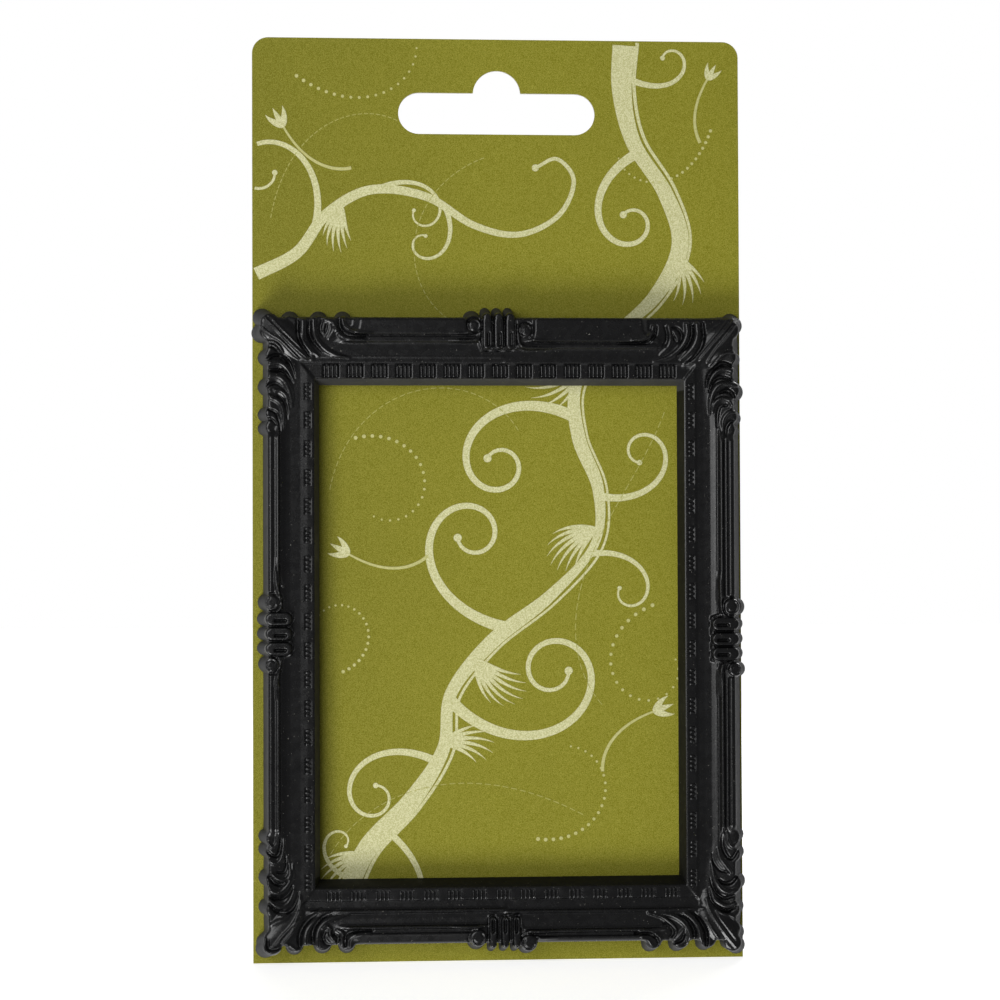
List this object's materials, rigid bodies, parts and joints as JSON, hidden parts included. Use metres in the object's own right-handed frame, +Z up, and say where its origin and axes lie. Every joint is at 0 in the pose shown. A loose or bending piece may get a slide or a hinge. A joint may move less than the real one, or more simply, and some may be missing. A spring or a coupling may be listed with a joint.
{
  "type": "magnetic photo frame",
  "caption": "Miniature black moulded magnetic photo frame with carved ornament and an open picture window, held on a flat hang card with a hook slot.",
  "frame": {"origin": "centre of the picture window on the back face of the hang card", "axes": "+Z up the card towards the hook slot, -Y out of the front towards the viewer, +X to the viewer's right"},
  "size_m": [0.0756, 0.007, 0.1424],
  "materials": {
    "printed_board": "satin printed board",
    "clear_glue": "soft clear glue",
    "black_moulding": "satin soft plastic",
    "magnet_rubber": "matte ferrite rubber",
    "adhesive_tape": "thin adhesive film"
  },
  "bodies": {
    "card": {"hang_card": "printed_board", "glue_dots": "clear_glue"},
    "frame": {"frame_moulding": "black_moulding", "magnet_strip_top": "magnet_rubber", "magnet_strip_bottom": "magnet_rubber", "magnet_strip_left": "magnet_rubber", "magnet_strip_right": "magnet_rubber", "magnet_tape_top": "adhesive_tape", "magnet_tape_bottom": "adhesive_tape", "magnet_tape_left": "adhesive_tape", "magnet_tape_right": "adhesive_tape"}
  },
  "joints": [
    {"name": "frame_pull_off", "type": "slide", "parent": "card", "child": "frame", "axis": [0, -1, 0], "range_m": [0, 0.04]}
  ]
}
